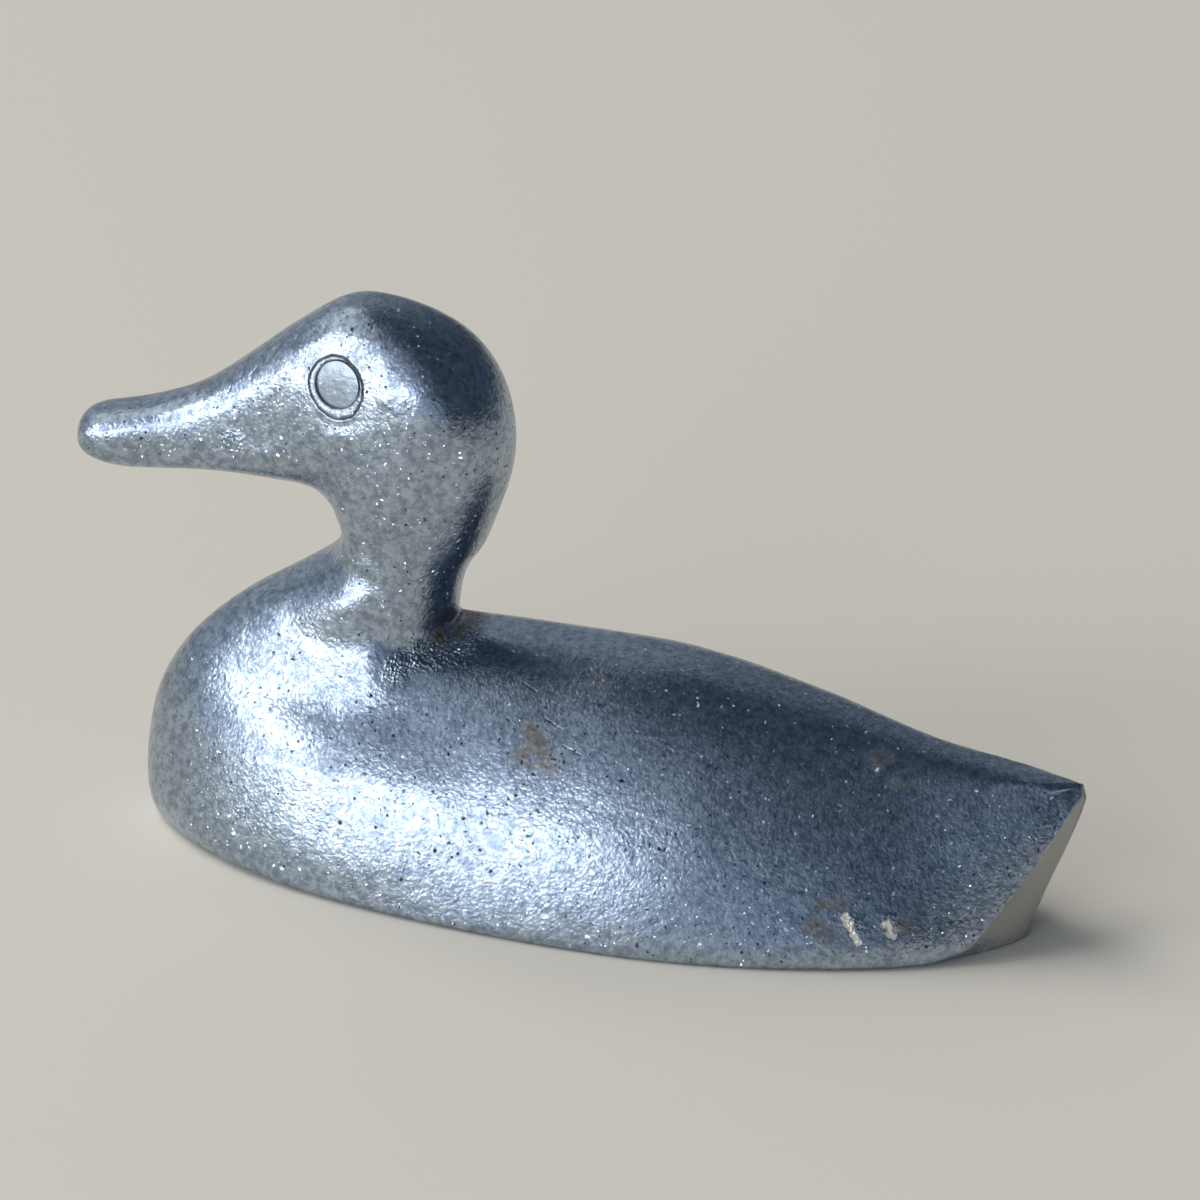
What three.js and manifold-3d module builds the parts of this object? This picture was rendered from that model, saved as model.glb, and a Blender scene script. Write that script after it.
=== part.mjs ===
// Cast aluminium duck figurine, in millimetres, +Z up.
// It swims towards -X and rests on the flat underside of its body at z = 0; its left side faces -Y.
// Pieces: the solid casting and two short aluminium pins, one set in a blind hole for each eye.

import * as THREE from "three";
import { ParametricGeometry } from "three/addons/geometries/ParametricGeometry.js";
import { mergeVertices } from "three/addons/utils/BufferGeometryUtils.js";
import Module from "manifold-3d";

const wasm = await Module();
wasm.setup();

// Lengths along the figure
const overallLength = 64.6; // bill tip to tail tip
const bodyLength = 59.1; // front of the breast to tail tip
const shoulderLength = 19.1; // front of the breast to the corner behind the neck
const neckDepth = 7.9; // front to back at its root
const napeOverhang = 3; // how far the back of the head stands behind the neck corner
const headLength = 17.6; // back of the head to the root of the bill
const breastUndercut = 1.1; // how far the breast overhangs the front of the flat underside
const sternUndercut = 2.4; // how far the tail overhangs its back

// Heights above the face that it rests on
const backHeight = 15.6;
const tailHeight = 10.8;
const breastHeight = 4.3; // where the breast stands out furthest
const flankHeight = 0.5; // where the flanks do, just above the rounded edge of the underside
const shoulderHeight = 20.3; // the breast's slope carried on up to the middle of the neck
const throatHeight = 20.6;
const chinHeight = 23.7; // underside of the bill
const headHeight = 35.8;
const billTipHeight = 24.9;

// Widths and thicknesses across the figure
const bodyWidth = 23.7;
const baseWidth = 22.7; // the flat underside, at its widest
const neckWidth = 8.6;
const headWidth = 10.3;
const billWidth = 4.6;
const billThickness = 3.5; // near its tip

// Roundness of the body: 2 is an ellipse, more is squarer
const domeSquareness = 2.2; // across its back
const domeSteepness = 0.8; // how the flanks stand at their foot: 0.5 is upright, 1 slopes
const sternSteepness = 0.85; // the same near the tail
const flankSquareness = 2.3; // from the edge of the underside out to the widest line
const sternSpread = 15; // how far before the tail the sides begin to slope more
const sternSquareness = 1.1; // the stern is nearly flat, and meets the flanks and the back at a clear edge

// Eyes: a pin sunk level with the head, in a hole that leaves a thin ring around it
const eyeDiameter = 3;
const eyeGap = 0.3; // ring between the pin and the wall of its hole
const eyeDepth = 1.6; // pin length
const eyeFloorGap = 0.3; // between the pin and the floor of its hole
const eyeSetback = 10.6; // back of the head to the middle of the eye
const eyeHeight = 31.7; // middle of the eye above the base

// Fillet between the back and the neck, as shares of the neck's depth
const filletSpread = 0.46; // at its front and sides
const cornerSpread = 0.05; // behind it, where the corner is almost sharp

// Fineness of the skin
const halfSteps = 26; // round each side of a ring, from its front to its back
const baseRings = 3; // across the flat underside
const flankRings = 5; // from the edge of the underside up to the widest line
const backRings = 18; // from the widest line in to the root of the neck
const filletRings = 5; // the part of those that turn up into the neck
const stepsPerSection = 2; // up the neck and along the head and bill

// Places worked out from the sizes
const tailX = overallLength / 2;
const billTipX = -overallLength / 2;
const breastX = tailX - bodyLength;
const widestX = breastX + bodyLength * 0.53;
const cornerX = breastX + shoulderLength;
const neckFrontX = cornerX - neckDepth;
const neckX = cornerX - neckDepth / 2;
const napeX = cornerX + napeOverhang;
const billRootX = napeX - headLength;
const baseFrontX = breastX + breastUndercut;
const baseBackX = tailX - sternUndercut;

const { lerp: mix, clamp, smoothstep } = THREE.MathUtils;

// Share 0 to 1 of a rounded rise that starts steeply: blunt sets how soon it levels off, round how steep
// it starts
const roundedRise = (share, blunt, round) => (1 - (1 - clamp(share, 0, 1)) ** blunt) ** (1 / round);

// Half the width of the body at x, at its widest line and at the edge of its flat underside
function bodyHalfWidth(x) {
  if (x < widestX) {
    return (bodyWidth / 2) * roundedRise((x - breastX) / (widestX - breastX), 2.25, 1.95);
  }
  return (bodyWidth / 2) * roundedRise((tailX - x) / (tailX - widestX), 1.75, 1.45);
}

function baseHalfWidth(x) {
  if (x < widestX) {
    return (baseWidth / 2) * roundedRise((x - baseFrontX) / (widestX - baseFrontX), 2.15, 1.5);
  }
  return (baseWidth / 2) * roundedRise((baseBackX - x) / (baseBackX - widestX), 1.9, 1.45);
}

// Height of the widest line: it falls from the breast, runs low along the flanks and climbs the stern,
// whose edge it is, to the tail
function widestHeight(share) {
  const flank = mix(breastHeight, flankHeight, smoothstep(share, 0, 0.3));
  return mix(flank, tailHeight * 0.92, smoothstep(share, 0.78, 0.95));
}

// Height of the top of the body on its middle line, as if it had no neck: breast, level back and tail
function topHeight(x) {
  const front = roundedRise((x - breastX) / (cornerX - breastX), 2, 2.2);
  const behind = clamp((x - widestX) / (tailX - widestX), 0, 1);
  const fall = Math.sin((Math.PI / 2) * behind) ** 1.7;
  return mix(mix(breastHeight, backHeight, front), tailHeight, fall);
}

// How much higher the breast runs on its middle line, where it climbs to the throat
function throatRise(x) {
  const breast = mix(breastHeight, shoulderHeight, roundedRise((x - breastX) / (neckX - breastX), 1.2, 2.4));
  return Math.max(breast - topHeight(x), 0) * (1 - smoothstep(x, neckFrontX, cornerX));
}

// How far out (0 to 1) and how high (0 to 1) a rounded shoulder is, at a share of its quarter turn;
// 2 is an ellipse
function shoulder(share, squareness) {
  const angle = (share * Math.PI) / 2;
  return {
    out: Math.cos(angle) ** (2 / squareness),
    up: Math.sin(angle) ** (2 / squareness),
  };
}

// The skin is a stack of rings. Each has a point for every step, from the front of the figure round its
// left side to the back; the right side mirrors them. The body's rings run over its underside, up its
// flanks and in to the neck.

// Share 0 to 1 along the body for a step, closer together at the breast and the tail
const alongBody = (step) => (1 - Math.cos((Math.PI * step) / halfSteps)) / 2;

function widestPoint(step) {
  const x = mix(breastX, tailX, alongBody(step));
  return new THREE.Vector3(x, -bodyHalfWidth(x), widestHeight(step / halfSteps));
}

function baseEdgePoint(step) {
  const x = mix(baseFrontX, baseBackX, alongBody(step));
  return new THREE.Vector3(x, -baseHalfWidth(x), 0);
}

// Underside: share 0 is its middle and 1 its edge
function basePoint(step, share) {
  const edge = baseEdgePoint(step);
  return new THREE.Vector3(mix(neckX, edge.x, share), edge.y * share, 0);
}

// Flank: share 0 is the edge of the underside and 1 the widest line; square along the side and nearly
// flat at the stern
function flankPoint(step, share) {
  const squareness = mix(flankSquareness, sternSquareness, smoothstep(step / halfSteps, 0.74, 0.84));
  const { out, up } = shoulder(1 - share, squareness);
  const edge = baseEdgePoint(step);
  const widest = widestPoint(step);
  return new THREE.Vector3(mix(edge.x, widest.x, out), mix(edge.y, widest.y, out), widest.z * (1 - up));
}

// Height of the back at a plan point, before the neck is blended in
function backHeightAt(x, y, rimHeight) {
  const outwards = clamp(Math.abs(y) / Math.max(bodyHalfWidth(x), 1e-6), 0, 1);
  const aft = smoothstep(x, tailX - sternSpread, tailX - sternUndercut);
  const steepness = mix(domeSteepness, sternSteepness, aft);
  const dome = (1 - outwards ** domeSquareness) ** steepness;
  const ridge = (1 - outwards ** 2) ** 1.2;
  return mix(rimHeight, Math.max(topHeight(x), rimHeight), dome) + throatRise(x) * ridge;
}

// Back: share 0 is the widest line and 1 the root of the neck, where the surface turns up into it
function backPoint(step, share) {
  const rim = widestPoint(step);
  const root = neckPoint(step, 0);
  const turned = step / halfSteps;
  const spread = neckDepth * mix(filletSpread, cornerSpread, smoothstep(turned, 0.2, 0.6));
  const length = Math.hypot(rim.x - root.x, rim.y - root.y);
  const ringShare = share * backRings;
  const filletStart = backRings - filletRings;
  const reach = ringShare <= filletStart
    ? mix(length, spread, (ringShare / filletStart) ** 1.9)
    : spread * (1 - (ringShare - filletStart) / filletRings) ** 2;
  const x = mix(root.x, rim.x, reach / length);
  const y = mix(root.y, rim.y, reach / length);
  const rise = root.z - backHeightAt(root.x, root.y, rim.z);
  const turn = 1 - clamp(reach / spread, 0, 1);
  return new THREE.Vector3(x, y, backHeightAt(x, y, rim.z) + rise * (1 - Math.sqrt(1 - turn * turn)));
}

// A point on the head: share 0 is the nape and 1 the root of the bill; rise 0 is the throat and 1 the crown
const onHead = (share, rise) => {
  return new THREE.Vector2(mix(napeX, billRootX, share), mix(throatHeight, headHeight, rise));
};

// A point up the neck: share 0 is its front and 1 its back; rise 0 is the back of the body and 1 the throat
const onNeck = (share, rise) => {
  return new THREE.Vector2(mix(neckFrontX, cornerX, share), mix(backHeight, throatHeight, rise));
};

// A point on the bill: share 0 is its root and 1 its tip; rise is in bill thicknesses above its underside
const onBill = (share, rise) => {
  return new THREE.Vector2(mix(billRootX, billTipX, share), chinHeight + rise * billThickness);
};

// Neck, head and bill are lofted through sections. Each has a point on the line over the nape and crown,
// one on the line down the throat, its half width, how far over from the throat line it is widest, and how
// square it is on the nape and throat sides.
function section(nape, throat, half, widest, upper, lower) {
  return { nape, throat, half, widest, upper, lower };
}

function neckSections() {
  const w = neckWidth / 2;
  return [
    section(onNeck(1, 0.07), onNeck(0.03, 0.9), w * 1.03, 0.56, 2, 2),
    section(onNeck(1.01, 0.32), onNeck(0.042, 0.96), w, 0.54, 2, 2),
    section(onNeck(1.035, 0.6), onNeck(0.05, 1.01), w, 0.5, 2, 2),
    section(onNeck(1.09, 0.85), onNeck(0.05, 1.07), w, 0.5, 2, 2),
    section(onNeck(1.18, 1.07), onNeck(0.04, 1.14), w * 1.02, 0.5, 2, 2),
  ];
}

function headSections() {
  const w = headWidth / 2;
  return [
    section(onHead(0.045, 0.18), onHead(0.62, 0.095), w * 0.92, 0.5, 2.05, 2.05),
    section(onHead(0, 0.44), onHead(0.637, 0.137), w, 0.5, 2.15, 2.1),
    section(onHead(0.062, 0.705), onHead(0.668, 0.17), w * 1.02, 0.52, 2.4, 2.1),
    section(onHead(0.205, 0.885), onHead(0.708, 0.19), w * 0.94, 0.5, 3, 2.1),
    section(onHead(0.39, 0.988), onHead(0.76, 0.2), w * 0.83, 0.42, 3, 2.2),
    section(onHead(0.59, 1.028), onHead(0.82, 0.198), w * 0.71, 0.33, 2.6, 2.2),
    section(onHead(0.76, 0.918), onHead(0.89, 0.2), w * 0.6, 0.27, 2.5, 2.2),
  ];
}

function billSections() {
  const w = billWidth / 2;
  return [
    section(onBill(-0.02, 2.07), onBill(0.02, -0.02), w * 1.14, 0.27, 2.5, 2.3),
    section(onBill(0.22, 1.5), onBill(0.24, -0.06), w * 1.05, 0.33, 2.6, 2.4),
    section(onBill(0.48, 1.13), onBill(0.5, -0.15), w * 1.01, 0.47, 2.7, 2.7),
    section(onBill(0.72, 0.92), onBill(0.73, -0.2), w, 0.48, 2.6, 2.6),
    section(onBill(0.89, 0.78), onBill(0.9, -0.12), w * 0.88, 0.5, 2.4, 2.3),
    section(onBill(0.97, 0.6), onBill(0.97, 0.04), w * 0.62, 0.5, 2.2, 2),
  ];
}

const sections = [...neckSections(), ...headSections(), ...billSections()];
const curveOf = (pick) => new THREE.SplineCurve(sections.map(pick));
const napeLine = curveOf((s) => s.nape);
const throatLine = curveOf((s) => s.throat);
const widths = curveOf((s) => new THREE.Vector2(s.half, s.widest));
const squares = curveOf((s) => new THREE.Vector2(s.upper, s.lower));

// Neck, head and bill: share 0 is the root of the neck and 1 the last section of the bill
function neckPoint(step, share) {
  const nape = napeLine.getPoint(share);
  const throat = throatLine.getPoint(share);
  const [half, widest] = widths.getPoint(share).toArray();
  const [upper, lower] = squares.getPoint(share).toArray();
  const quarter = (2 * step) / halfSteps;
  const turn = quarter < 1 ? shoulder(1 - quarter, lower) : shoulder(quarter - 1, upper);
  const over = quarter < 1 ? widest * (1 - turn.up) : mix(widest, 1, turn.up);
  return new THREE.Vector3(mix(throat.x, nape.x, over), -half * turn.out, mix(throat.y, nape.y, over));
}

// Every ring as a function from a step to its point, from the middle of the underside to the tip of the bill
const even = (count) => Array.from({ length: count }, (_, i) => (i + 1) / count);
const underside = new THREE.Vector3(neckX, 0, 0);
const billTip = new THREE.Vector3(billTipX, 0, billTipHeight);
const rings = [
  () => underside,
  ...even(baseRings).map((share) => (step) => basePoint(step, share)),
  ...even(flankRings).map((share) => (step) => flankPoint(step, share)),
  ...even(backRings).map((share) => (step) => backPoint(step, share)),
  ...even((sections.length - 1) * stepsPerSection).map((share) => (step) => neckPoint(step, share)),
  () => billTip,
];

function skinGeometry() {
  const place = (u, v, target) => {
    const step = Math.round(u * 2 * halfSteps);
    const ring = rings[Math.round(v * (rings.length - 1))];
    target.copy(ring(step <= halfSteps ? step : 2 * halfSteps - step));
    if (step > halfSteps) {
      target.y = -target.y;
    }
    if (step % halfSteps === 0) {
      target.y = 0;
    }
  };
  return new ParametricGeometry(place, 2 * halfSteps, rings.length - 1);
}

// A solid that booleans can work on: shared vertices merged, triangles that closed to a line left out
function solidOf(geometry) {
  geometry.deleteAttribute("normal");
  geometry.deleteAttribute("uv");
  const merged = mergeVertices(geometry, 1e-4);
  const corners = Array.from(merged.index.array);
  const kept = [];
  for (let i = 0; i < corners.length; i += 3) {
    const [a, b, c] = corners.slice(i, i + 3);
    if (a !== b && b !== c && c !== a) {
      kept.push(a, b, c);
    }
  }
  return new wasm.Manifold(
    new wasm.Mesh({
      numProp: 3,
      vertProperties: new Float32Array(merged.attributes.position.array),
      triVerts: new Uint32Array(kept),
    })
  );
}

function geometryOf(solid) {
  const mesh = solid.getMesh();
  const geometry = new THREE.BufferGeometry();
  geometry.setAttribute("position", new THREE.BufferAttribute(mesh.vertProperties, 3));
  geometry.setIndex(new THREE.BufferAttribute(mesh.triVerts, 1));
  geometry.computeVertexNormals();
  return geometry;
}

// Where an eye sits: the point that a line square to the figure's middle plane meets on the head, and the
// skin's outward direction there. side is -1 for the left eye and 1 for the right.
function eyeSeat(skin, side) {
  const start = new THREE.Vector3(napeX - eyeSetback, side * bodyWidth, eyeHeight);
  const inwards = new THREE.Vector3(0, -side, 0);
  const probe = new THREE.Mesh(skin, new THREE.MeshBasicMaterial({ side: THREE.DoubleSide }));
  const [hit] = new THREE.Raycaster(start, inwards).intersectObject(probe);
  const outwards = hit.face.normal.clone();
  if (outwards.y * side < 0) {
    outwards.negate();
  }
  return { point: hit.point, outwards };
}

// A round bar square to the skin, from a depth below the seat to a height above it
function bar(seat, diameter, depth, proud) {
  const geometry = new THREE.CylinderGeometry(diameter / 2, diameter / 2, depth + proud, 40);
  geometry.translate(0, (proud - depth) / 2, 0);
  const turn = new THREE.Quaternion().setFromUnitVectors(new THREE.Vector3(0, 1, 0), seat.outwards);
  geometry.applyQuaternion(turn);
  geometry.translate(seat.point.x, seat.point.y, seat.point.z);
  return geometry;
}

function castAluminium() {
  return new THREE.MeshStandardMaterial({ color: "#8f979e", roughness: 0.48, metalness: 1 });
}

function pinAluminium() {
  return new THREE.MeshStandardMaterial({ color: "#9aa2a8", roughness: 0.42, metalness: 1 });
}

function piece(name, geometry, material) {
  const mesh = new THREE.Mesh(geometry, material);
  mesh.name = name;
  return mesh;
}

const skin = skinGeometry();
const seats = { left: eyeSeat(skin, -1), right: eyeSeat(skin, 1) };
const body = solidOf(skin);

// The casting, with a blind hole for each eye
function castingGeometry() {
  let casting = body;
  for (const seat of Object.values(seats)) {
    const hole = bar(seat, eyeDiameter + 2 * eyeGap, eyeDepth + eyeFloorGap, eyeDepth);
    casting = casting.subtract(solidOf(hole));
  }
  return geometryOf(casting);
}

// An eye pin, its outer end dressed to the curve of the head
function eyePinGeometry(seat) {
  const pin = solidOf(bar(seat, eyeDiameter, eyeDepth, eyeDepth));
  return geometryOf(pin.intersect(body));
}

const duck = new THREE.Group();
duck.add(piece("duck_casting", castingGeometry(), castAluminium()));
duck.add(piece("left_eye_pin", eyePinGeometry(seats.left), pinAluminium()));
duck.add(piece("right_eye_pin", eyePinGeometry(seats.right), pinAluminium()));

export default duck;
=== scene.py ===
# Cast aluminium duck figurine: its looks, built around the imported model
# Metres, +Z up; the bill points to -X and the left side to -Y; it rests at z = 0
import math
import bmesh
import bpy
import numpy as np
from mathutils import Matrix, Vector, noise


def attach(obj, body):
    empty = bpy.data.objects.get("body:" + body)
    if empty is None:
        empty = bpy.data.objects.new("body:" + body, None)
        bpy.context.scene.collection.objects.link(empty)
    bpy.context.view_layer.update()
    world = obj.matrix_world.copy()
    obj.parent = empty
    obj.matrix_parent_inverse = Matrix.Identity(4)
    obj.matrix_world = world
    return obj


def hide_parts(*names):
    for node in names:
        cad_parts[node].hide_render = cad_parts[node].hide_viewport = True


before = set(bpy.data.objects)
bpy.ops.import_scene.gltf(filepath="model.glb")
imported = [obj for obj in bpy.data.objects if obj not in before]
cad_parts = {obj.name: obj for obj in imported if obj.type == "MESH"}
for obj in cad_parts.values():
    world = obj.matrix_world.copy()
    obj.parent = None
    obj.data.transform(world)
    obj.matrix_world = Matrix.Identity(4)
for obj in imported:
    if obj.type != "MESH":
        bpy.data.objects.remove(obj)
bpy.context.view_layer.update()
mm = 0.001
print("duck: frame loaded")


# Camera and light

view = {
    "azimuth": 10,  # degrees from straight at the left side towards the tail
    "elevation": 24.3,
    "roll": 4.2,  # the picture leans clockwise
    "distance": 520 * mm,
    "target": (0, 0, 15 * mm),
    "aside": 1.36 * mm,  # camera moved in its own plane, so that the duck sits low and left of the middle
    "above": 2.83 * mm,
    "lens": 253,
}


def aim(place, right, up, back):
    turn = Matrix((right, up, back)).transposed().to_4x4()
    return Matrix.Translation(place) @ turn


def addCamera(settings):
    a, e, r = (math.radians(settings[key]) for key in ("azimuth", "elevation", "roll"))
    back = Vector((math.sin(a) * math.cos(e), -math.cos(a) * math.cos(e), math.sin(e)))
    level = Vector((math.cos(a), math.sin(a), 0))
    upright = back.cross(level)
    right = level * math.cos(r) + upright * math.sin(r)
    up = upright * math.cos(r) - level * math.sin(r)
    place = Vector(settings["target"]) + back * settings["distance"]
    place += right * settings["aside"] + up * settings["above"]
    camera = bpy.data.objects.new("camera", bpy.data.cameras.new("camera"))
    camera.data.lens = settings["lens"]
    camera.data.clip_start = 10 * mm
    camera.matrix_world = aim(place, right, up, back)
    bpy.context.scene.collection.objects.link(camera)
    bpy.context.scene.camera = camera


# Each lamp is a soft rectangle: where it stands as seen from the duck, in degrees and metres
lamps = {
    "upperPane": {"azimuth": -142, "elevation": 26, "distance": 0.9, "width": 0.26, "height": 0.16, "watts": 1.15,
                  "colour": "#f6f9ff"},
    "middlePane": {"azimuth": -105, "elevation": 17, "distance": 0.9, "width": 0.26, "height": 0.22, "watts": 0.8,
                   "colour": "#f6f9ff"},
    "lowPane": {"azimuth": -130, "elevation": 4.3, "distance": 0.9, "width": 0.5, "height": 0.1, "watts": 1.45,
                "colour": "#f6f9ff"},
    "farSide": {"azimuth": -72, "elevation": 9, "distance": 0.9, "width": 0.6, "height": 0.3, "watts": 0.14,
                "colour": "#c8dcff"},
    "ceiling": {"azimuth": 178, "elevation": 52, "distance": 1.5, "width": 1.4, "height": 1.0, "watts": 3,
                "colour": "#fdfaf5"},
    "floorLight": {"azimuth": 178, "elevation": 52, "distance": 1.5, "width": 1.4, "height": 1.0, "watts": 11,
                   "colour": "#fdfaf5", "mirrored": False},  # for the floor; the metal doesn't mirror it
}


def linear(hexColour):
    channels = [int(hexColour[i:i + 2], 16) / 255 for i in (1, 3, 5)]
    return tuple(c / 12.92 if c <= 0.04045 else ((c + 0.055) / 1.055) ** 2.4 for c in channels) + (1,)


def addLamp(name, settings):
    a, e = math.radians(settings["azimuth"]), math.radians(settings["elevation"])
    out = Vector((math.cos(e) * math.cos(a), math.cos(e) * math.sin(a), math.sin(e)))
    right = Vector((-math.sin(a), math.cos(a), 0))
    data = bpy.data.lights.new(name, "AREA")
    data.shape = "RECTANGLE"
    data.size, data.size_y = settings["width"], settings["height"]
    data.energy = settings["watts"]
    data.color = linear(settings["colour"])[:3]
    lamp = bpy.data.objects.new(name, data)
    lamp.matrix_world = aim(out * settings["distance"] + Vector((0, 0, 15 * mm)), right, out.cross(right), out)
    lamp.visible_glossy = settings.get("mirrored", True)
    bpy.context.scene.collection.objects.link(lamp)


# One node with its settings; inputs are values, outputs of other nodes, or nodes, whose first output in use is meant
def addNode(tree, kind, inputs=None, **settings):
    node = tree.nodes.new("ShaderNode" + kind)
    for name, value in settings.items():
        setattr(node, name, value)
    for name, value in (inputs or {}).items():
        if isinstance(value, bpy.types.Node):
            value = next(socket for socket in value.outputs if socket.enabled)
        if isinstance(value, bpy.types.NodeSocket):
            tree.links.new(value, node.inputs[name])
        else:
            node.inputs[name].default_value = value
    return node


# The room: a dim blue-grey, paler overhead and glowing round the window
room = {
    "dark": "#444f5d",
    "pale": "#a9b0b8",
    "towards": (-0.72, 0.6, 0.34),  # where it is palest
    "paleFrom": 0.45,  # cosine of the angle from there at which it has gone dark
    "glow": "#dfe9f7",
    "window": (-0.575, -0.791, 0.208),
    "glowFrom": 0.2,
    "glowPower": 2.2,  # how fast the glow falls off
    "strength": 1.0,
}


def addRoom(settings):
    world = bpy.data.worlds.new("room")
    bpy.context.scene.world = world
    world.use_nodes = True
    tree = world.node_tree
    tree.nodes.clear()
    facing = addNode(tree, "TexCoord").outputs["Generated"]
    dark, pale, glow = (linear(settings[key]) for key in ("dark", "pale", "glow"))
    near = addNode(tree, "VectorMath", {0: facing, 1: settings["towards"]}, operation="DOT_PRODUCT")
    share = addNode(tree, "MapRange", {"Value": near, "From Min": settings["paleFrom"], "From Max": 1.0},
                    interpolation_type="SMOOTHSTEP")
    tint = addNode(tree, "Mix", {0: share, 6: dark, 7: pale}, data_type="RGBA")
    near = addNode(tree, "VectorMath", {0: facing, 1: settings["window"]}, operation="DOT_PRODUCT")
    share = addNode(tree, "MapRange", {"Value": near, "From Min": settings["glowFrom"], "From Max": 1.0})
    share = addNode(tree, "Math", {0: share, 1: settings["glowPower"]}, operation="POWER")
    tint = addNode(tree, "Mix", {0: share, 6: tint, 7: glow}, data_type="RGBA")
    back = addNode(tree, "Background", {"Color": tint, "Strength": settings["strength"]})
    addNode(tree, "OutputWorld", {"Surface": back})


# The eyes: where each sits on the skin

eyeShape = {
    "pinLength": 1.6 * mm,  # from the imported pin's flat inner end out to the skin
    "cleared": 2.95 * mm,  # the skin is made again inside this radius, with rings close enough for the grooves
    "patchRadius": 2.6 * mm,
    "holeRadius": 1.5 * mm,
    "holeDepth": 1.9 * mm,
    "discRadius": 1.478 * mm,
    "discBevel": 0.035 * mm,
    "discSunk": 0.03 * mm,
    "discWear": 0.02 * mm,
    "discLean": (-0.07, -0.07),  # the disc was filed a little forwards and down, away from the window's reflection
    "grooveRadius": 1.8 * mm,  # nominal; the real one wanders, as a hand-cut line does
    "grooveDepth": 0.1 * mm,
    "grooveWidth": 0.055 * mm,
    "segments": 160,
    "ringStep": 0.09 * mm,  # rings of skin round the hole, closer together where the grooves are
    "fineStep": 0.028 * mm,
    "fineFrom": 2.06 * mm,
}

# How far out the cut line round each eye runs, in mm, every 30 degrees from the back of the head over the top
cutLines = {
    "left": (1.75, 1.64, 1.62, 1.75, 1.83, 1.9, 1.93, 1.9, 1.95, 2.12, 2.1, 1.9),
    "right": (1.78, 1.7, 1.66, 1.7, 1.8, 1.88, 1.9, 1.92, 1.98, 2.06, 2.02, 1.88),
}


def eyeSeat(side):
    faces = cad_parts[side + "_eye_pin"].data.polygons
    areas = {}
    for face in faces:
        key = face.normal.to_tuple(2)
        areas[key] = areas.get(key, 0) + face.area
    flatEnd = [f for f in faces if f.normal.to_tuple(2) == max(areas, key=areas.get)]
    area = sum(f.area for f in flatEnd)
    centre = sum((f.center * f.area for f in flatEnd), Vector()) / area
    outwards = -sum((f.normal * f.area for f in flatEnd), Vector()).normalized()
    across = Vector((1, 0, 0)) - outwards * outwards.x
    across.normalize()
    upwards = outwards.cross(across)
    if upwards.z < 0:
        upwards.negate()
    middle = centre + outwards * eyeShape["pinLength"]
    return {"side": side, "middle": middle, "outwards": outwards, "across": across, "upwards": upwards}


# A point as across, upwards and outwards of an eye's seat, and back
def inSeat(seat, point):
    offset = point - seat["middle"]
    return offset.dot(seat["across"]), offset.dot(seat["upwards"]), offset.dot(seat["outwards"])


def fromSeat(seat, a, b, h):
    return seat["middle"] + seat["across"] * a + seat["upwards"] * b + seat["outwards"] * h


# Smooth skin over the hole: the cubic that fits the skin round it best
def fitSkin(seat, points):
    rows, heights = [], []
    for point in points:
        a, b, h = inSeat(seat, point)
        if 1.7 * mm < math.hypot(a, b) < 4.4 * mm and h > -1.7 * mm:
            rows.append([(a / mm) ** i * (b / mm) ** j for i in range(4) for j in range(4 - i)])
            heights.append(h)
    factors = np.linalg.lstsq(np.array(rows), np.array(heights), rcond=None)[0]

    def height(a, b):
        return float(sum(f * (a / mm) ** i * (b / mm) ** j
                         for f, (i, j) in zip(factors, [(i, j) for i in range(4) for j in range(4 - i)])))
    return height


# The casting's skin

skinShape = {
    "rounding": 2,  # subdivision levels
    "baseEdge": 0.45 * mm,  # width of the rounded edge of the underside
    "neckRoot": ((-18 * mm, -8 * mm, 13.5 * mm), (-9.8 * mm, 8 * mm, 20.5 * mm)),
    "softening": 24,
    "sternFrom": 26 * mm,  # behind this the stern's edge stays clear, only just rounded
    "sternCrease": 0.8,
    "sternReflectionFacing": (0.62, 0.77),  # how straight back the skin faces where the stern's painted pale reflection begins and is full
    "waviness": ((7.0 * mm, 0.07 * mm), (3.2 * mm, 0.035 * mm)),  # filed by hand: wave length and height
}


# Pushes of the skin against the plain casting, in mm: how far out along an axis at each height, and the share of it at
# each place along the body. In turn: the neck's sides run lower before the breast swells out; a hollow across the
# breast; a stern that leans in more; a cheek that stays flat further back; bill and cheek that face down a little; a
# stern face cut in more at its foot
dressings = (
    {"axis": 1, "heights": (9.8, 12.2, 14.6, 17.8, 21.5, 25.5, 29), "out": (0, -0.5, -0.6, 0.85, 0.5, 0.15, 0),
     "places": (-27, -20, -14, -12, -8), "shares": (0, 1, 1, 0.45, 0)},
    {"axis": 1, "heights": (0.5, 3, 8, 11.4, 14.5), "out": (0, 0.3, 0.55, -0.45, 0),
     "places": (-24, -19, -16, -10, -4), "shares": (0, 0.6, 1, 0.6, 0)},
    {"axis": 1, "heights": (0.3, 1.5, 10, 12), "out": (0.1, 0.15, -0.75, -0.75),
     "places": (10, 22, 40), "shares": (0, 1, 1)},
    {"axis": 1, "heights": (24, 27.5, 32.5, 36), "out": (0, 0.1, 0.6, 0.35),
     "places": (-16, -10, -6), "shares": (0, 1, 1)},
    {"axis": 1, "heights": (22, 27, 31.5, 33), "out": (0, -0.2, 0.2, 0.2),
     "places": (-31, -27, -18, -13, -8), "shares": (0, 0.7, 1, 0.6, 0)},
    {"axis": 0, "heights": (0, 3, 9), "out": (-0.55, -0.5, 0), "places": (22, 26, 40), "shares": (0, 1, 1)},
)
blurring = np.linspace(-0.6, 0.6, 7)  # mm of height over which each push is evened out


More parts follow.
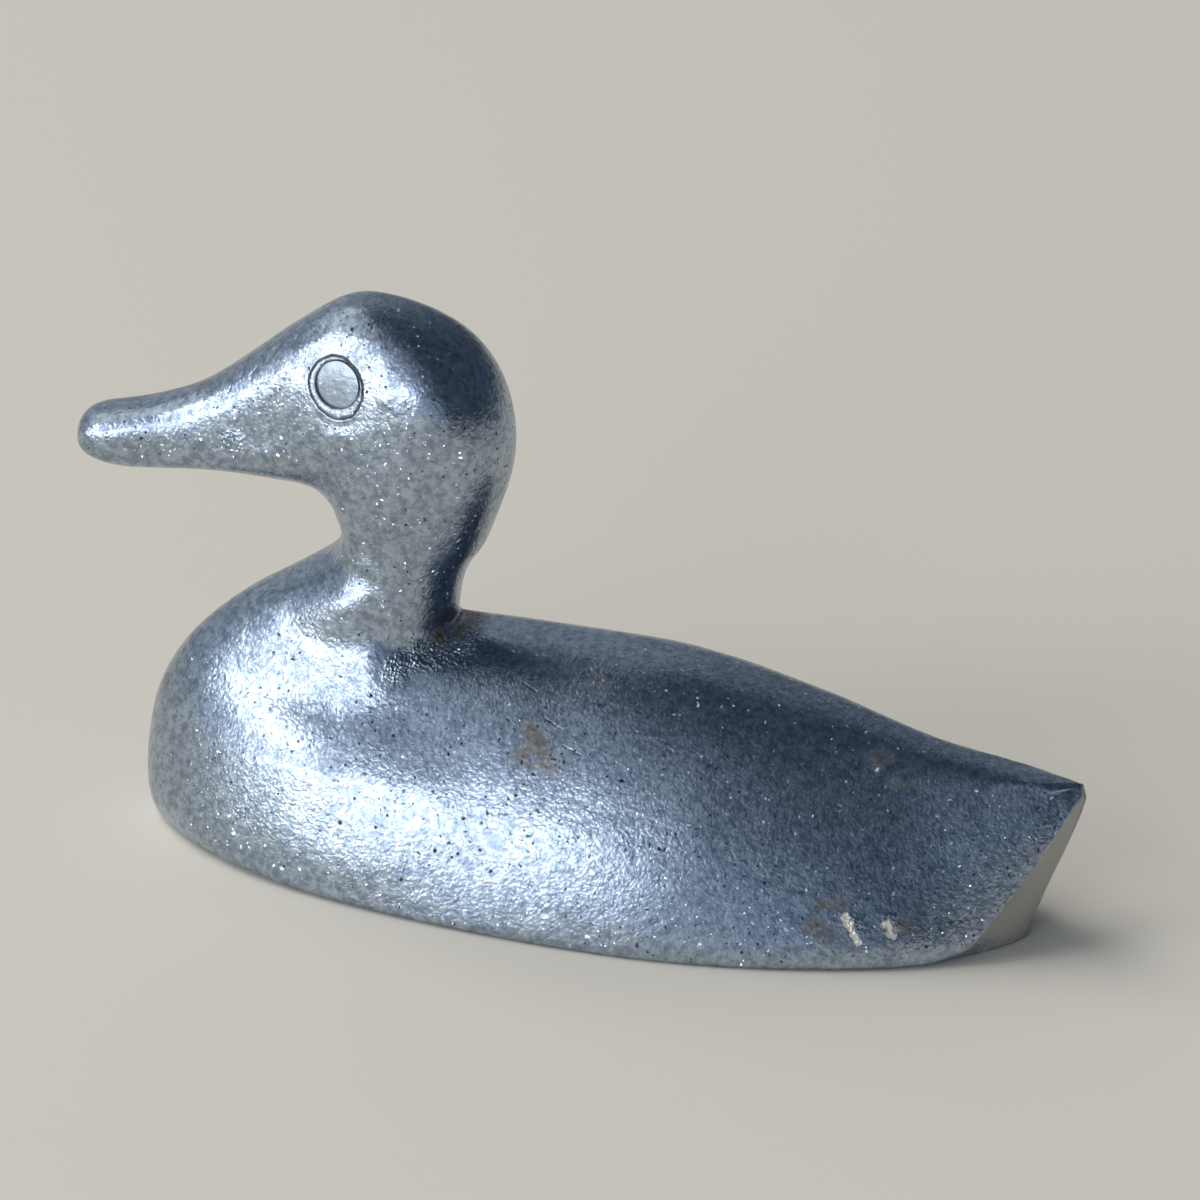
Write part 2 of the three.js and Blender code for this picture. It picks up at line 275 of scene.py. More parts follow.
def dressed(point, normal):
    x, z = point.x / mm, point.z / mm
    move = Vector()
    for push in dressings:
        out = np.interp(z + blurring, push["heights"], push["out"]).mean()
        out *= np.interp(x, push["places"], push["shares"])
        move[push["axis"]] += float(out) * normal[push["axis"]] * mm
    return move


def smoothly(value, low, high):
    share = min(max((value - low) / (high - low), 0), 1)
    return share * share * (3 - 2 * share)


def waves(point):
    total = 0
    for number, (length, height) in enumerate(skinShape["waviness"]):
        shift = Vector((number * 11.3, 4.7, 2.9))
        total += noise.noise(point / length + shift) * height
    return total


def skinCage(seats):
    bm = bmesh.new()
    bm.from_mesh(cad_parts["duck_casting"].data)
    bmesh.ops.remove_doubles(bm, verts=bm.verts[:], dist=0.001 * mm)
    rimPoints = {seat["side"]: [v.co.copy() for v in bm.verts] for seat in seats}
    near = []
    for vert in bm.verts:
        for seat in seats:
            a, b, h = inSeat(seat, vert.co)
            if math.hypot(a, b) < eyeShape["cleared"] and h > -3 * mm:
                near.append(vert)
    bmesh.ops.delete(bm, geom=near, context="VERTS")
    crease = bm.edges.layers.float.new("crease_edge")
    for edge in bm.edges:
        middle = (edge.verts[0].co + edge.verts[1].co) / 2
        if middle.x > skinShape["sternFrom"] and middle.z > 0.3 * mm and edge.calc_face_angle(0) > math.radians(16):
            edge.smooth = False
            edge[crease] = skinShape["sternCrease"]
    under = [f for f in bm.faces if f.normal.z < -0.999 and f.calc_center_median().z < 0.01 * mm]
    flat = bmesh.ops.dissolve_faces(bm, faces=under)["region"]
    bmesh.ops.inset_region(bm, faces=flat, thickness=skinShape["baseEdge"])
    triangles = [f for f in bm.faces if len(f.verts) == 3]
    bmesh.ops.join_triangles(bm, faces=triangles, angle_face_threshold=math.radians(50),
                             angle_shape_threshold=math.radians(50), cmp_sharp=True)
    for edge in bm.edges:
        edge.smooth = True
    return bm, rimPoints


def subdivided(bm, levels):
    mesh = bpy.data.meshes.new("cage")
    bm.to_mesh(mesh)
    bm.free()
    cage = bpy.data.objects.new("cage", mesh)
    bpy.context.scene.collection.objects.link(cage)
    rounding = cage.modifiers.new("rounding", "SUBSURF")
    rounding.levels = rounding.render_levels = levels
    depsgraph = bpy.context.evaluated_depsgraph_get()
    smooth = bpy.data.meshes.new_from_object(cage.evaluated_get(depsgraph))
    bpy.data.objects.remove(cage)
    out = bmesh.new()
    out.from_mesh(smooth)
    return out


# Radius of the cut line at an angle, smooth between the values given every 30 degrees
def cutRadius(side, angle):
    values = cutLines[side]
    place = (math.degrees(angle) % 360) / 30
    index = int(place) % 12
    share = place - int(place)
    share = share * share * (3 - 2 * share)
    wobble = 0.025 * noise.noise(Vector((math.cos(angle) * 4, math.sin(angle) * 4, len(side))))
    wobble += 0.05 * noise.noise(Vector((math.cos(angle) * 13, math.sin(angle) * 13, len(side) + 3)))
    return (values[index] * (1 - share) + values[(index + 1) % 12] * share + wobble) * mm


# Where a skin point round the eye goes: radius and angle on the seat, height above the plain skin, and its share of
# painted shade
def eyeRelief(side, radius, angle):
    s = eyeShape
    grooveAt = cutRadius(side, angle)
    slide = smoothly(radius, s["holeRadius"], s["grooveRadius"] - 0.1 * mm)
    slide *= 1 - smoothly(radius, s["grooveRadius"] + 0.1 * mm, s["patchRadius"])
    placed = radius + (grooveAt - s["grooveRadius"]) * slide
    depth = 0.75 + 0.45 * noise.noise(Vector((math.cos(angle) * 5, math.sin(angle) * 5, 7.1)))
    groove = math.exp(-((radius - s["grooveRadius"]) / s["grooveWidth"]) ** 2)
    # the graver pushed metal up on both sides of the cut, and the hole's edge is worn down
    bank = math.exp(-((radius - s["grooveRadius"] - 0.16 * mm) / (0.1 * mm)) ** 2)
    lip = math.exp(-((radius - s["grooveRadius"] + 0.14 * mm) / (0.07 * mm)) ** 2)
    edge = math.exp(-(radius - s["holeRadius"]) / (0.05 * mm)) if radius >= s["holeRadius"] else 1
    height = -s["grooveDepth"] * depth * groove + 0.012 * mm * bank + 0.02 * mm * lip - 0.04 * mm * edge
    # the last value is painted shade: darkest in the cut line, and at the hole's edge where the gap to the disc lies
    # in shade
    return placed, height, max(groove * min(depth + 0.2, 1), edge * 0.7)


def addEyePatch(bm, seat, height):
    s = eyeShape
    rim = [e for e in bm.edges if e.is_boundary and (e.verts[0].co - seat["middle"]).length < 6 * mm]
    turn = Matrix((seat["across"], seat["upwards"], seat["outwards"])).transposed().to_4x4()
    circle = bmesh.ops.create_circle(bm, cap_ends=True, segments=s["segments"], radius=s["patchRadius"],
                                     matrix=Matrix.Translation(seat["middle"]) @ turn)
    cap = circle["verts"][0].link_faces[0]
    # painted shade of the cut line and the hole's edge, kept on the skin's points
    dirtAndShadeLayer = bm.verts.layers.float["dirt_and_shade"]
    bmesh.ops.bridge_loops(bm, edges=rim + list(cap.edges))
    # rings of skin in to the hole, then down its wall to the floor
    radii = [s["patchRadius"]]
    while radii[-1] > s["holeRadius"] + 0.001 * mm:
        step = s["ringStep"] if radii[-1] > s["fineFrom"] else s["fineStep"]
        radii.append(max(radii[-1] - step, s["holeRadius"]))
    rings = [(radius, 0) for radius in radii]
    rings += [(s["holeRadius"] - 0.012 * mm, 0.06 * mm), (s["holeRadius"] - 0.016 * mm, 0.3 * mm),
              (s["holeRadius"] - 0.02 * mm, s["holeDepth"])]
    for number, (radius, drop) in enumerate(rings):
        if number:
            bmesh.ops.inset_region(bm, faces=[cap], thickness=0.01 * mm, use_even_offset=False)
        for vert in cap.verts:
            a, b, _ = inSeat(seat, vert.co)
            angle = math.atan2(b, a)
            placed, relief, dirt_and_shade = eyeRelief(seat["side"], max(radius, s["holeRadius"]), angle)
            placed += min(radius - s["holeRadius"], 0)
            a, b = placed * math.cos(angle), placed * math.sin(angle)
            level = height(a, b) if drop < 1 * mm else 0
            vert.co = fromSeat(seat, a, b, level + relief - drop)
            vert[dirtAndShadeLayer] = dirt_and_shade


def finishMesh(bm, name, material):
    bmesh.ops.recalc_face_normals(bm, faces=bm.faces[:])
    mesh = bpy.data.meshes.new(name)
    bm.to_mesh(mesh)
    bm.free()
    mesh.shade_smooth()
    mesh.materials.append(material)
    piece = bpy.data.objects.new(name, mesh)
    bpy.context.scene.collection.objects.link(piece)
    return piece


# The breast runs up into the neck without a crease; only the corner behind the neck stays sharp
def softenNeckRoot(bm):
    low, high = skinShape["neckRoot"]
    zone = [v for v in bm.verts if all(low[i] < v.co[i] < high[i] for i in range(3))]
    for _ in range(skinShape["softening"]):
        bmesh.ops.smooth_vert(bm, verts=zone, factor=0.5, use_axis_x=True, use_axis_y=True, use_axis_z=True)


# Marks are found by their place as seen from the side, so that they hold however the skin is dressed
fromSide = (1, 0.2, 1)


def sideways(x, y, z):
    return Vector((x * fromSide[0], y * fromSide[1], z * fromSide[2])) * mm


def readMesh(mesh, what):
    values = np.empty(len(mesh.vertices) * 3)
    mesh.vertices.foreach_get(what, values)
    return values.reshape(-1, 3)


def writeMesh(mesh, name, values):
    mesh.attributes.new(name, "FLOAT", "POINT").data.foreach_set("value", values)


# How much of a mark each point of the mesh carries: 0 to 1 inside soft balls
def markedShare(mesh, places, edge):
    points = readMesh(mesh, "co") / mm
    total = np.zeros(len(points))
    for x, y, z, radius in places:
        away = np.linalg.norm((points - (x, y, z)) * fromSide, axis=1)
        total = np.maximum(total, np.clip((radius - away) / (radius * (1 - edge)), 0, 1))
    return total


def makeSkin(seats, material):
    cage, rimPoints = skinCage(seats)
    bm = subdivided(cage, skinShape["rounding"])
    # room for the painted shade round the eyes
    bm.verts.layers.float.new("dirt_and_shade")
    softenNeckRoot(bm)
    bm.normal_update()
    moves = [dressed(vert.co, vert.normal) for vert in bm.verts]
    for vert, move in zip(bm.verts, moves):
        vert.co += move
    heights = {}
    for seat in seats:
        heights[seat["side"]] = fitSkin(seat, [v.co for v in bm.verts] + rimPoints[seat["side"]])
        addEyePatch(bm, seat, heights[seat["side"]])
    bm.normal_update()
    for vert in bm.verts:
        rise = min(vert.co.z / (1.5 * mm), 1)  # the underside stays flat
        vert.co += vert.normal * waves(vert.co) * max(rise, 0)
    piece = finishMesh(bm, "cast_skin", material)
    writeMesh(piece.data, "rough", markedShare(piece.data, roughPatches, 0.3))
    writeMesh(piece.data, "stain", markedShare(piece.data, brownStains, 0.1))
    # the stern's face is painted pale, a painted reflection of the pale surroundings behind it
    low, high = skinShape["sternReflectionFacing"]
    sternReflection = np.clip((readMesh(piece.data, "normal")[:, 0] - low) / (high - low), 0, 1)
    writeMesh(piece.data, "sternReflection", sternReflection * (readMesh(piece.data, "co")[:, 0] > 0))  # the stern, not the back of the head
    return piece, heights


# The eye's disc: the outer end of its pin, dressed to the curve of the head
def makeDisc(seat, height, material):
    s = eyeShape
    bm = bmesh.new()
    turn = Matrix((seat["across"], seat["upwards"], seat["outwards"])).transposed().to_4x4()
    place = Matrix.Translation(seat["middle"] - seat["outwards"] * s["pinLength"] / 2) @ turn
    bmesh.ops.create_cone(bm, cap_ends=True, segments=96, radius1=s["discRadius"], radius2=s["discRadius"],
                          depth=s["pinLength"], matrix=place)
    top = max(bm.faces, key=lambda f: inSeat(seat, f.calc_center_median())[2] if len(f.verts) > 4 else -1)
    bmesh.ops.bevel(bm, geom=list(top.edges), offset=s["discBevel"], affect="EDGES", segments=3, profile=0.5,
                    material=-1)
    top = max((f for f in bm.faces if len(f.verts) > 4), key=lambda f: inSeat(seat, f.calc_center_median())[2])
    for _ in range(9):
        bmesh.ops.inset_region(bm, faces=[top], thickness=0.13 * mm)
    for vert in bm.verts:
        a, b, h = inSeat(seat, vert.co)
        if h > -0.3 * mm:
            angle = math.atan2(b, a)
            out = 1 + 0.008 * noise.noise(Vector((math.cos(angle) * 3, math.sin(angle) * 3, 1.3)))
            worn = s["discWear"] * noise.noise(vert.co / (0.9 * mm))
            h += height(a, b) + worn - s["discSunk"] - a * s["discLean"][0] - b * s["discLean"][1]
            vert.co = fromSeat(seat, a * out, b * out, h)
    return finishMesh(bm, seat["side"] + "_eye_disc", material)


# Aluminium poured in a sand mould and filed by hand: a dull blue-grey metal with a pebbly skin, rubbed bright on
# its high spots, peppered with fine pits, stained brown where dirt has settled; painted shade darkens its pits and
# grooves and a painted reflection pales the stern's face
castAluminium = {
    "rubbed": "#b4c0cd",
    "oxide": "#8492a3",
    # dark brown of settled dirt, also used as painted shade in the pits, the eye's cut line and the hole's edge
    "dirt_and_shade": "#4b3a34",
    "rust": "#6a5432",
    "sternReflection": "#b3b2ab",  # the stern's face: dull and without shine, painted paler as a painted reflection of the pale surroundings
    "chipped": "#efe7d8",  # fresh bright metal where the base has been knocked
    "roughness": 0.31,
    "polished": 0.16,
    "bending": (0.8, 0.5),  # how the folds wander: size and reach, mm
    "folds": (0.7, 0.012),  # worm-like folds of the poured skin: size and height, mm
    "pebbles": (0.26, 0.016),  # print of the sand grains
    "grain": (0.12, 0.013),  # finest grit, drawn coarser than the real 0.05 mm so that it shows
    "pits": (1.1, 0.05),  # spacing and depth, mm
    "grits": (0.3, 0.62),  # grit grains pressed in at all angles, which glint or stay dark: spacing in mm and tilt
    "chips": (0.24, 0.12),  # torn metal in the rough corner behind the neck
    "scratches": 0.015,  # depth, mm
    "knocked": 0.03,  # depth of the bare chips, mm
    "clouds": 5,  # size of the more and less rubbed areas, mm
    "mottle": 0.45,  # size of the small paler and darker flecks, mm
    "blotches": 0.7,  # size of the shapes that stains and bare chips break into, mm
}

# Places of the marks on the skin as the photograph shows them, in mm, with their radius
# these pits are deepened and take the dark dirt colour, partly as painted shade
darkPits = (
    (-19.8, -6.8, 5.6, 0.11), (-17.3, -7.8, 5.4, 0.09), (-13.3, -8.0, 8.3, 0.1), (-12.3, -9.2, 5.2, 0.16),
    (-10.0, -9.5, 5.4, 0.12), (-6.1, -10.2, 4.7, 0.14), (-5.0, -10.4, 4.5, 0.1), (-4.6, -9.5, 6.8, 0.12),
    (-8.0, -10.6, 2.6, 0.14), (-15.7, -9.2, 1.6, 0.1), (-3.3, -10.3, 5.2, 0.1), (-15.7, -7.8, 7.3, 0.08),
    (-11.3, -8.7, 7.2, 0.08), (-16.0, -5.0, 14.4, 0.1), (-13.7, -5.5, 14.3, 0.08), (-14.8, -2.5, 35.0, 0.12),
)
roughPatches = (
    (-10.3, -5.5, 14.1, 1.0), (-9.3, -4.4, 14.8, 1.1), (-8.1, -3.0, 14.9, 1.2), (-6.7, -2.0, 15.2, 1.1),
    (19.7, -9.1, 3.0, 0.7), (22.0, -8.2, 3.1, 0.6), (-21.9, -2.5, 26.5, 0.9),
)
# Scratches and nicks: both ends and the width
scratches = (
    (-15.8, -2.3, 18.5, -15.3, -3.1, 18.0, 0.09), (-0.7, -6.1, 12.7, 0.5, -6.4, 12.3, 0.08),
    (0.8, -7.1, 11.5, 1.9, -7.3, 11.2, 0.08), (-2.5, -4.4, 14.1, -1.5, -4.9, 13.8, 0.08),
    (4.2, -2.0, 15.4, 4.9, -1.9, 15.4, 0.08), (24.6, -1.5, 11.5, 27.1, -0.7, 11.1, 0.1),
    (16.1, -9.7, 1.9, 16.4, -9.8, 1.1, 0.14), (24.2, -6.3, 2.9, 24.3, -6.5, 2.0, 0.12),
    (5.3, -11.5, 2.1, 5.5, -11.8, 0.7, 0.14), (7.2, -11.5, 1.5, 7.3, -11.7, 0.4, 0.12),
    (-30.1, -1.2, 26.6, -28.4, -1.3, 27.0, 0.12), (-28.4, -1.3, 27.0, -26.6, -0.8, 27.8, 0.12),
    (-26.6, -0.8, 27.8, -25.1, -0.1, 28.6, 0.1), (-22.5, -2.0, 29.3, -22.3, -1.8, 29.8, 0.09),
    (-21.8, -1.8, 30.4, -21.6, -1.6, 30.8, 0.09), (-21.1, -2.0, 30.8, -20.7, -1.8, 31.4, 0.09),
    (-20.1, -1.9, 31.9, -20.0, -1.6, 32.3, 0.09), (-22.7, -2.6, 26.1, -21.7, -2.7, 25.9, 0.13),
    (-22.6, -2.6, 26.7, -21.7, -2.7, 26.6, 0.1),
)
bareChips = (
    (19.2, -8.3, 3.3, 19.6, -8.3, 2.6, 0.5), (19.7, -8.3, 2.4, 20.1, -8.4, 1.9, 0.45),
    (21.7, -7.4, 2.9, 22.0, -7.5, 2.4, 0.6),
)
# Places and radii again
brownStains = (
    (-1.3, -6.7, 11.9, 0.9), (-1.6, -7.7, 10.6, 0.9), (0.1, -7.9, 10.4, 0.8), (-0.6, -7.2, 11.2, 1.0),
    (2.1, -4.1, 14.4, 0.5), (17.5, -9.0, 2.9, 0.9), (17.6, -8.6, 4.1, 0.6), (18.8, -8.1, 4.2, 0.7),
    (18.4, -8.9, 2.3, 0.8), (21.1, -4.1, 10.6, 0.6), (19.7, -3.3, 11.8, 0.8), (-7.3, 1.5, 15.5, 0.8),
    (-6.7, 0.6, 15.6, 0.7), (-7.1, -1.1, 15.6, 0.8), (-8.2, -2.6, 15.5, 0.7), (22.7, -7.0, 2.9, 0.7),
)


def newMaterial(name):
    material = bpy.data.materials.new(name)
    material.use_nodes = True
    material.node_tree.nodes.clear()
    return material


def millimetres(size):
    return 1 / (size * mm)


# Share 0 to 1 inside soft balls round the places
def spots(tree, coords, places, edge):
    total = 0.0
    for x, y, z, radius in places:
        away = addNode(tree, "VectorMath", {0: coords, 1: sideways(x, y, z)}, operation="DISTANCE")
        share = addNode(tree, "MapRange", {"Value": away, "From Min": radius * mm, "From Max": radius * mm * edge},
                        interpolation_type="SMOOTHSTEP")
        total = addNode(tree, "Math", {0: total, 1: share}, operation="MAXIMUM")
    return total


# Share 0 to 1 along the lines
def lines(tree, coords, places):
    total = 0.0
    for x0, y0, z0, x1, y1, z1, width in places:
        start, run = sideways(x0, y0, z0), sideways(x1 - x0, y1 - y0, z1 - z0)
        offset = addNode(tree, "VectorMath", {0: coords, 1: start}, operation="SUBTRACT")
        along = addNode(tree, "VectorMath", {0: offset, 1: run / run.length_squared}, operation="DOT_PRODUCT")
        held = addNode(tree, "Math", {0: along, 1: 1}, operation="MULTIPLY", use_clamp=True)
        foot = addNode(tree, "VectorMath", {0: run, "Scale": held}, operation="SCALE")
        away = addNode(tree, "VectorMath", {0: offset, 1: foot}, operation="DISTANCE")
        share = addNode(tree, "MapRange", {"Value": away, "From Min": width * mm, "From Max": 0.0})
        total = addNode(tree, "Math", {0: total, 1: share}, operation="MAXIMUM")
    return total


# Turns the surface to a steady random angle inside some small cells; gives the new normal and the cells' share
def addGrits(tree, vector, normal, size, tilt):
    fray = addNode(tree, "TexNoise", {"Vector": vector, "Scale": millimetres(0.13), "Detail": 1}).outputs["Color"]
    frayed = addNode(tree, "VectorMath", {0: fray, 1: (0.16 * mm,) * 3, 2: vector}, operation="MULTIPLY_ADD")
    cells = addNode(tree, "TexVoronoi", {"Vector": frayed, "Scale": millimetres(size)})
    pick = addNode(tree, "SeparateColor", {"Color": cells.outputs["Color"]})
    reach = addNode(tree, "MapRange", {"Value": pick.outputs["Blue"], "From Min": 0.2, "From Max": 1, "To Min": 0.0,
                                       "To Max": 0.4})
    depth = addNode(tree, "Math", {0: reach, 1: cells}, operation="SUBTRACT")
    share = addNode(tree, "MapRange", {"Value": depth, "From Min": 0.0, "From Max": 0.12})
    # off the middle of the random colours, so that the grains lean a little towards the bill and the window there
    turn = addNode(tree, "VectorMath", {0: cells.outputs["Color"], 1: (0.58, 0.52, 0.52)}, operation="SUBTRACT")
    amount = addNode(tree, "Math", {0: share, 1: 2 * tilt}, operation="MULTIPLY")
    lean = addNode(tree, "VectorMath", {0: turn, "Scale": amount}, operation="SCALE")
    leaning = addNode(tree, "VectorMath", {0: normal, 1: lean}, operation="ADD")
    return addNode(tree, "VectorMath", {0: leaning}, operation="NORMALIZE"), share


def makeCastAluminium(settings):
    material = newMaterial("sand_cast_aluminium")
    tree = material.node_tree
    coords = addNode(tree, "TexCoord").outputs["Object"]

    # pebbly skin with worm-like folds
    size, reach = settings["bending"]
    wander = addNode(tree, "TexNoise", {"Vector": coords, "Scale": millimetres(size), "Detail": 1}).outputs["Color"]
    bend = addNode(tree, "VectorMath", {0: wander, 1: (0.5, 0.5, 0.5)}, operation="SUBTRACT")
    bent = addNode(tree, "VectorMath", {0: bend, 1: (reach * mm,) * 3, 2: coords}, operation="MULTIPLY_ADD")
    size, height = settings["folds"]
    folds = addNode(tree, "TexNoise", {"Vector": bent, "Scale": millimetres(size), "Detail": 1})
    total = addNode(tree, "Math", {0: folds, 1: height}, operation="MULTIPLY")
    size, height = settings["pebbles"]
    pebbles = addNode(tree, "TexVoronoi", {"Vector": bent, "Scale": millimetres(size), "Smoothness": 0.5},
                      feature="SMOOTH_F1")
    total = addNode(tree, "Math", {0: pebbles, 1: -height, 2: total}, operation="MULTIPLY_ADD")
    size, height = settings["grain"]
    grain = addNode(tree, "TexNoise", {"Vector": coords, "Scale": millimetres(size), "Detail": 2, "Roughness": 0.6})
    total = addNode(tree, "Math", {0: grain, 1: height, 2: total}, operation="MULTIPLY_ADD")
    # 0 in the low places, 1 on the rubbed tops
    tops = addNode(tree, "Math", {0: pebbles, 1: -0.3}, operation="MULTIPLY")
    tops = addNode(tree, "Math", {0: folds, 1: 0.6, 2: tops}, operation="MULTIPLY_ADD")
    tops = addNode(tree, "Math", {0: grain, 1: 0.4, 2: tops}, operation="MULTIPLY_ADD")
    rubbedTops = addNode(tree, "MapRange", {"Value": tops, "From Min": 0.28, "From Max": 0.48})

    # fine pits, in some cells only, then the marks of the photographed duck
    size, depth = settings["pits"]
    pitCells = addNode(tree, "TexVoronoi", {"Vector": bent, "Scale": millimetres(size)})
    pitPick = addNode(tree, "SeparateColor", {"Color": pitCells.outputs["Color"]}).outputs["Red"]
    pitSize = addNode(tree, "MapRange", {"Value": pitPick, "From Min": 0.4, "From Max": 1, "To Min": 0.001,
                                         "To Max": 0.09})
    pit = addNode(tree, "Math", {0: pitCells, 1: pitSize}, operation="LESS_THAN")
    flat = addNode(tree, "VectorMath", {0: coords, 1: fromSide}, operation="MULTIPLY")
    hollow = addNode(tree, "Math", {0: pit, 1: spots(tree, flat, darkPits, 0.6)}, operation="MAXIMUM")
    total = addNode(tree, "Math", {0: hollow, 1: -depth, 2: total}, operation="MULTIPLY_ADD")
    # bare chips are torn to ragged shapes
    blotch = addNode(tree, "TexNoise", {"Vector": coords, "Scale": millimetres(settings["blotches"]), "Detail": 4,
                                        "Roughness": 0.7})
    ragged = addNode(tree, "Math", {0: blotch, 1: 2.2, 2: lines(tree, flat, bareChips)}, operation="MULTIPLY_ADD")
    chipped = addNode(tree, "MapRange", {"Value": ragged, "From Min": 1.6, "From Max": 1.95})
    total = addNode(tree, "Math", {0: chipped, 1: -settings["knocked"], 2: total}, operation="MULTIPLY_ADD")
    cut = lines(tree, flat, scratches)
    total = addNode(tree, "Math", {0: cut, 1: -settings["scratches"], 2: total}, operation="MULTIPLY_ADD")
    size, height = settings["chips"]
    chips = addNode(tree, "TexVoronoi", {"Vector": bent, "Scale": millimetres(size)})
    rough = addNode(tree, "Attribute", attribute_name="rough").outputs["Fac"]
    torn = addNode(tree, "Math", {0: chips, 1: rough}, operation="MULTIPLY")
    total = addNode(tree, "Math", {0: torn, 1: height, 2: total}, operation="MULTIPLY_ADD")
    relief = addNode(tree, "Bump", {"Height": total, "Strength": 1, "Distance": mm})
    size, tilt = settings["grits"]
    relief, grit = addGrits(tree, bent, relief, size, tilt)

    # colour: rubbed metal over duller oxide, then stains, the stern's painted pale reflection, bare chips, and dirt
    # with painted shade
    cloud = addNode(tree, "TexNoise", {"Vector": coords, "Scale": millimetres(settings["clouds"]), "Detail": 6,
                                       "Roughness": 0.65})
    mottle = addNode(tree, "TexNoise", {"Vector": coords, "Scale": millimetres(settings["mottle"]), "Detail": 3,
                                        "Roughness": 0.6})
    rubbed = addNode(tree, "MapRange", {"Value": cloud, "From Min": 0.3, "From Max": 0.7})
    share = addNode(tree, "Math", {0: rubbed, 1: 0.3}, operation="MULTIPLY")
    share = addNode(tree, "Math", {0: rubbedTops, 1: 0.6, 2: share}, operation="MULTIPLY_ADD")
    share = addNode(tree, "Math", {0: mottle, 1: 2.8, 2: share}, operation="MULTIPLY_ADD")
    share = addNode(tree, "Math", {0: share, 1: 1.25}, operation="SUBTRACT", use_clamp=True)
    patchy = addNode(tree, "MapRange", {"Value": blotch, "From Min": 0.32, "From Max": 0.52})
    stained = addNode(tree, "Attribute", attribute_name="stain").outputs["Fac"]
    stain = addNode(tree, "Math", {0: stained, 1: patchy}, operation="MULTIPLY")
    # the stern's painted pale reflection
    sternReflection = addNode(tree, "Attribute", attribute_name="sternReflection").outputs["Fac"]
    # the pits, the eye's cut line and the hole's edge take the dark colour below as painted shade, partly as dirt
    grooves = addNode(tree, "Attribute", attribute_name="dirt_and_shade").outputs["Fac"]
    dirtAndShade = addNode(tree, "Math", {0: hollow, 1: grooves}, operation="MAXIMUM")
    colour = linear(settings["oxide"])
    for share, name in ((share, "rubbed"), (stain, "rust"), (sternReflection, "sternReflection"), (chipped, "chipped"), (dirtAndShade, "dirt_and_shade")):
        colour = addNode(tree, "Mix", {0: share, 6: colour, 7: linear(settings[name])}, data_type="RGBA")

    # stains, chips, the dirt and painted shade, and the stern are duller and less metallic; grit and scratches shine
    dull = dirtAndShade
    for share, most in ((stain, 0.55), (chipped, 0.45), (sternReflection, 1)):
        part = addNode(tree, "Math", {0: share, 1: most}, operation="MULTIPLY")
        dull = addNode(tree, "Math", {0: dull, 1: part}, operation="MAXIMUM")
    bare = addNode(tree, "Math", {0: cut, 1: 0.3}, operation="MULTIPLY")
    bare = addNode(tree, "Math", {0: grit, 1: bare}, operation="MAXIMUM")
    shine = addNode(tree, "MapRange", {"Value": bare, "From Min": 0, "From Max": 0.6,
                                       "To Min": settings["roughness"], "To Max": settings["polished"]})
    roughness = addNode(tree, "Math", {0: cloud, 1: -0.12, 2: shine}, operation="MULTIPLY_ADD")
    roughness = addNode(tree, "Math", {0: dull, 1: 0.3, 2: roughness}, operation="MULTIPLY_ADD")
    metallic = addNode(tree, "Math", {0: dull, 1: -0.8, 2: 1.0}, operation="MULTIPLY_ADD")
    shader = addNode(tree, "BsdfPrincipled", {"Base Color": colour, "Metallic": metallic, "Roughness": roughness,
                                              "Normal": relief})
    addNode(tree, "OutputMaterial", {"Surface": shader})
    return material


# Drawn aluminium pin, filed flush: a smoother disc with faint file marks, which shows a little greyer than the skin
pinAluminium = {
    "metal": "#b0bcc9",
    "worn": "#93a0ae",
    "roughness": 0.33,
    "fileMarks": (0.09, 0.006),  # size and height, mm
    "dents": (0.35, 0.03),
    "grits": (0.36, 0.5),
    "clouds": 0.9,
}


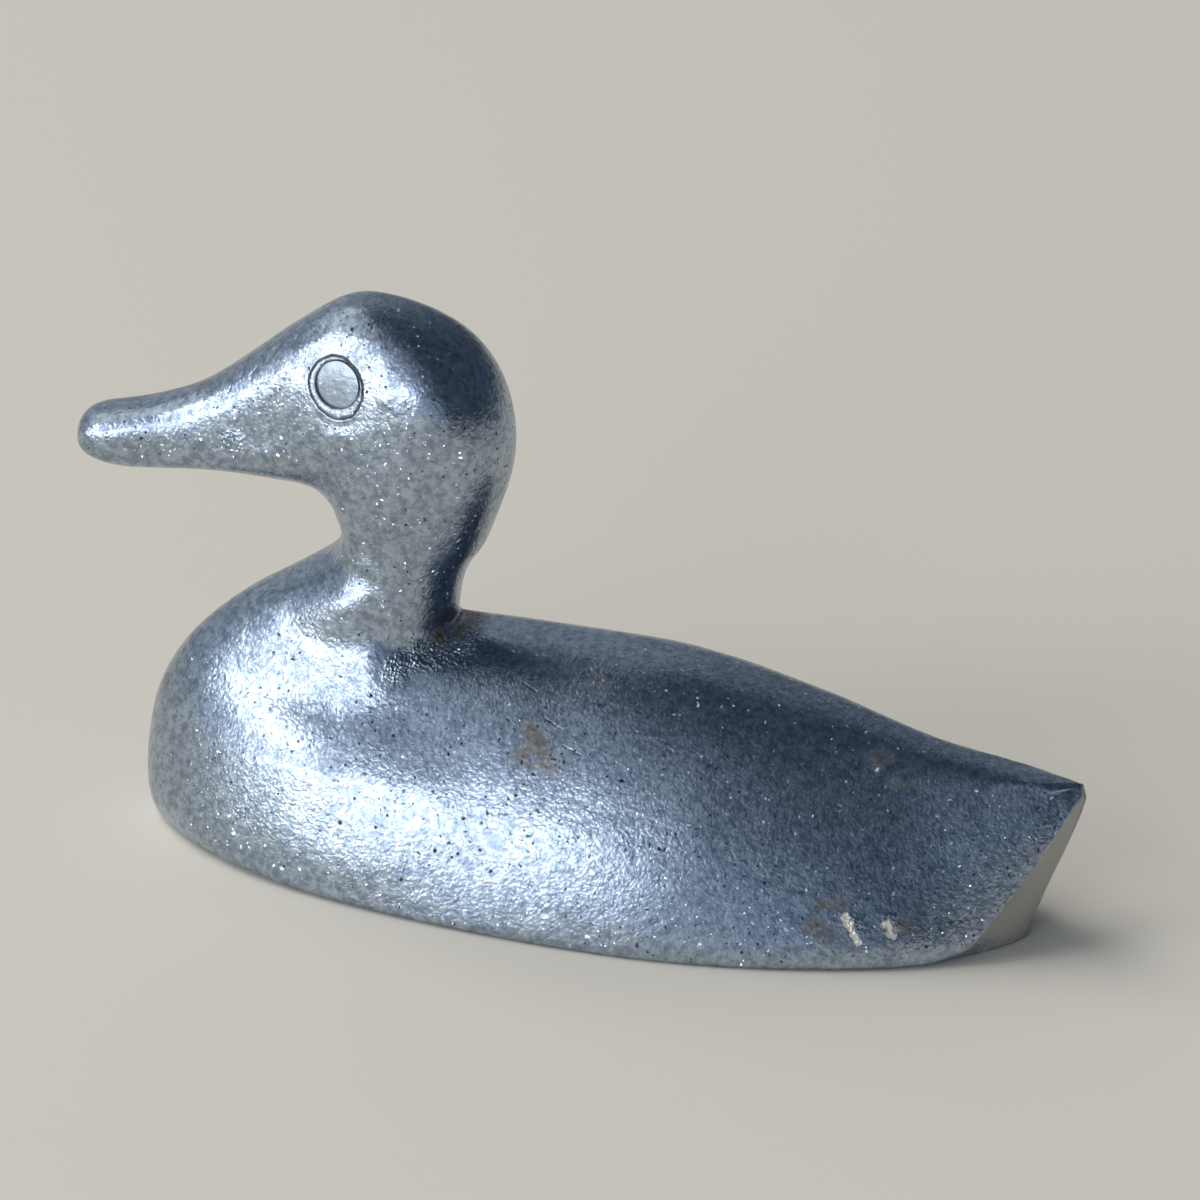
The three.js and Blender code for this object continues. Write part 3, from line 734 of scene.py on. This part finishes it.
def makePinAluminium(settings):
    material = newMaterial("filed_aluminium_pin")
    tree = material.node_tree
    coords = addNode(tree, "TexCoord").outputs["Object"]
    size, height = settings["fileMarks"]
    streaks = addNode(tree, "Mapping", {"Vector": coords, "Rotation": (0, math.radians(25), 0), "Scale": (0.2, 1, 1)})
    marks = addNode(tree, "TexNoise", {"Vector": streaks, "Scale": millimetres(size), "Detail": 2})
    total = addNode(tree, "Math", {0: marks, 1: height}, operation="MULTIPLY")
    size, height = settings["dents"]
    dents = addNode(tree, "TexNoise", {"Vector": coords, "Scale": millimetres(size), "Detail": 2})
    total = addNode(tree, "Math", {0: dents, 1: height, 2: total}, operation="MULTIPLY_ADD")
    relief = addNode(tree, "Bump", {"Height": total, "Strength": 1, "Distance": mm})
    size, tilt = settings["grits"]
    relief, _ = addGrits(tree, coords, relief, size, tilt)
    cloud = addNode(tree, "TexNoise", {"Vector": coords, "Scale": millimetres(settings["clouds"]), "Detail": 3})
    colour = addNode(tree, "Mix", {0: cloud, 6: linear(settings["worn"]), 7: linear(settings["metal"])},
                     data_type="RGBA")
    roughness = addNode(tree, "Math", {0: cloud, 1: 0.1, 2: settings["roughness"]}, operation="MULTIPLY_ADD")
    shader = addNode(tree, "BsdfPrincipled", {"Base Color": colour, "Metallic": 1.0, "Roughness": roughness,
                                              "Normal": relief})
    addNode(tree, "OutputMaterial", {"Surface": shader})
    return material


floorLook = {"colour": "#ebe4d6", "radius": 3.0, "roughness": 0.9, "shine": 0.2}


def makeFloor(settings):
    material = newMaterial("matt_paper_floor")
    tree = material.node_tree
    shader = addNode(tree, "BsdfPrincipled", {"Base Color": linear(settings["colour"]),
                                              "Roughness": settings["roughness"],
                                              "Specular IOR Level": settings["shine"]})
    addNode(tree, "OutputMaterial", {"Surface": shader})
    bm = bmesh.new()
    bmesh.ops.create_circle(bm, cap_ends=True, segments=96, radius=settings["radius"],
                            matrix=Matrix.Translation((0, 0, -0.02 * mm)))
    mesh = bpy.data.meshes.new("floor")
    bm.to_mesh(mesh)
    bm.free()
    mesh.materials.append(material)
    floor = bpy.data.objects.new("floor", mesh)
    bpy.context.scene.collection.objects.link(floor)


# The whole figure

addCamera(view)
for lampName, lampSettings in lamps.items():
    addLamp(lampName, lampSettings)
addRoom(room)
makeFloor(floorLook)
print("duck: camera, lamps and floor")

skinMaterial = makeCastAluminium(castAluminium)
pinMaterial = makePinAluminium(pinAluminium)
seats = [eyeSeat("left"), eyeSeat("right")]
skin, skinHeights = makeSkin(seats, skinMaterial)
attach(skin, "root")
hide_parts("duck_casting")
print("duck: skin", len(skin.data.polygons), "faces")

for seat in seats:
    disc = makeDisc(seat, skinHeights[seat["side"]], pinMaterial)
    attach(disc, "root")
    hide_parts(seat["side"] + "_eye_pin")
print("duck: eyes")

scene = bpy.context.scene
scene.view_settings.view_transform = "Standard"
